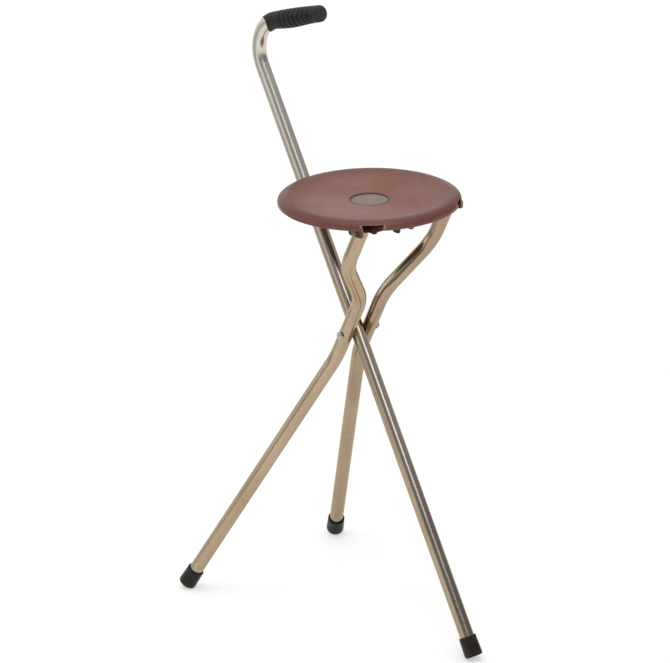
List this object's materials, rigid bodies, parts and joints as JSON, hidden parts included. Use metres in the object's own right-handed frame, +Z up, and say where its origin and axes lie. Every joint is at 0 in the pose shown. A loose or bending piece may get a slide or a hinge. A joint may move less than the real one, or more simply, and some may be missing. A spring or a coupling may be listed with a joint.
{
  "type": "walking stick seat",
  "caption": "Walking stick that unfolds into a stool: bent cane with a ringed rubber grip, splayed legs bolted across it and a round dished plastic seat hinged on top of them.",
  "frame": {"origin": "on the floor under the middle of the object's box, opened for use", "axes": "+Z up, mirror plane at Y = 0, +X towards the foot of the stick and the tip of the hand grip"},
  "size_m": [0.429, 0.2756, 0.7833],
  "materials": {
    "tube_metal": "polished, pale bronze anodised",
    "fastener_steel": "zinc plated",
    "black_rubber": "matt moulded rubber",
    "seat_plastic": "fine moulded grain, dusty red brown",
    "plug_plastic": "matt red brown moulding",
    "badge_trim": "dark satin ring",
    "badge_metal": "grey green satin plate, left plain"
  },
  "bodies": {
    "stick": {"stick_tube": "tube_metal", "hand_grip": "black_rubber", "stick_ferrule": "black_rubber", "stick_ferrule_washer": "fastener_steel", "pivot_bolt": "fastener_steel", "left_spacer": "fastener_steel", "right_spacer": "fastener_steel", "left_pivot_washer": "fastener_steel", "right_pivot_washer": "fastener_steel", "pivot_nut": "fastener_steel", "rest_pin": "fastener_steel", "left_rest_pin_clip": "fastener_steel", "right_rest_pin_clip": "fastener_steel"},
    "left_leg": {"left_leg_tube": "tube_metal", "left_leg_plug": "plug_plastic", "left_leg_ferrule": "black_rubber", "left_leg_ferrule_washer": "fastener_steel"},
    "right_leg": {"right_leg_tube": "tube_metal", "right_leg_plug": "plug_plastic", "right_leg_ferrule": "black_rubber", "right_leg_ferrule_washer": "fastener_steel"},
    "seat": {"seat_shell": "seat_plastic", "badge_ring": "badge_trim", "badge_plate": "badge_metal", "left_hinge_pin": "fastener_steel", "left_hinge_clip": "fastener_steel", "right_hinge_pin": "fastener_steel", "right_hinge_clip": "fastener_steel"}
  },
  "joints": [
    {"name": "left_leg_fold", "type": "hinge", "parent": "stick", "child": "left_leg", "pos_m": [-0.00507, 0, 0.3784], "axis": [0, -1, 0], "range_deg": [0, 54.6]},
    {"name": "right_leg_fold", "type": "hinge", "parent": "stick", "child": "right_leg", "pos_m": [-0.00507, 0, 0.3784], "axis": [0, -1, 0], "range_deg": [0, 54.6]},
    {"name": "seat_fold", "type": "hinge", "parent": "left_leg", "child": "seat", "pos_m": [0.08641, -0.0695, 0.54902], "axis": [0, -1, 0], "range_deg": [-115.5, 0]}
  ],
  "couplings": [
    {"joint": "right_leg_fold", "follows": "left_leg_fold", "ratio": 1},
    {"joint": "seat_fold", "follows": "left_leg_fold", "ratio": -2.1153}
  ]
}
